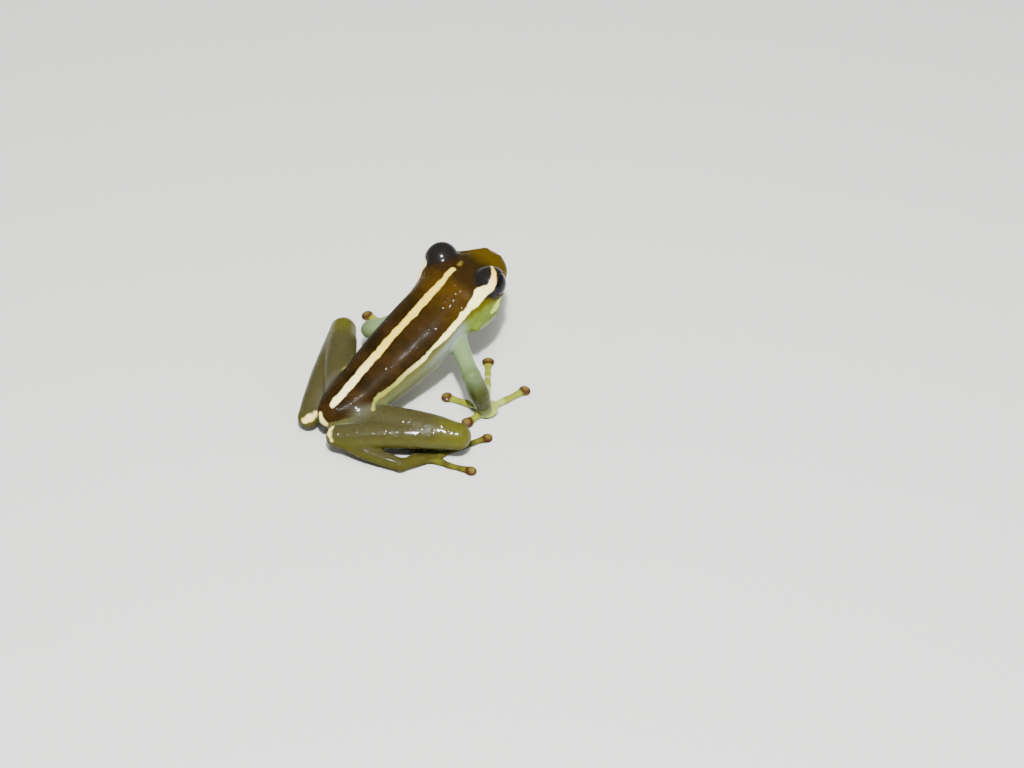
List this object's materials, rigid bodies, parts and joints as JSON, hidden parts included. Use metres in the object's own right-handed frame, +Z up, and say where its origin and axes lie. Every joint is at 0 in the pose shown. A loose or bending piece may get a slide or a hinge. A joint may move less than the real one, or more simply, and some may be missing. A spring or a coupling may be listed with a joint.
{
  "type": "tree frog figure",
  "caption": "Life-size striped treasury island tree frog at rest, its head raised on its arms, toes ending in round discs.",
  "frame": {"origin": "middle of the frog's box, on the floor that its hands and feet rest on", "axes": "-Y is the way the frog faces, +X its left side, +Z up"},
  "size_m": [0.0352, 0.0368, 0.0175],
  "materials": {
    "skin_back": "smooth wet skin, dark translucent brown with cream stripes",
    "skin_head": "smooth wet skin, brown turning olive-orange on the snout",
    "skin_leg": "smooth wet skin, translucent olive-brown",
    "skin_arm": "smooth wet skin, pale translucent green",
    "skin_digit": "smooth skin, pale olive cream with dark disc rims",
    "cornea": "wet gloss, near black"
  },
  "bodies": {
    "root": {"eye_left": "cornea", "eye_right": "cornea", "finger_1_left": "skin_digit", "finger_1_right": "skin_digit", "finger_2_left": "skin_digit", "finger_2_right": "skin_digit", "finger_3_left": "skin_digit", "finger_3_right": "skin_digit", "finger_4_left": "skin_digit", "finger_4_right": "skin_digit", "foot_left": "skin_digit", "foot_right": "skin_digit", "forearm_left": "skin_arm", "forearm_right": "skin_arm", "hand_left": "skin_digit", "hand_right": "skin_digit", "head": "skin_head", "shank_left": "skin_leg", "shank_right": "skin_leg", "tarsus_left": "skin_leg", "tarsus_right": "skin_leg", "thigh_left": "skin_leg", "thigh_right": "skin_leg", "toe_1_left": "skin_digit", "toe_1_right": "skin_digit", "toe_2_left": "skin_digit", "toe_2_right": "skin_digit", "toe_3_left": "skin_digit", "toe_3_right": "skin_digit", "toe_4_left": "skin_digit", "toe_4_right": "skin_digit", "toe_5_left": "skin_digit", "toe_5_right": "skin_digit", "torso": "skin_back", "upper_arm_left": "skin_arm", "upper_arm_right": "skin_arm"}
  },
  "joints": []
}
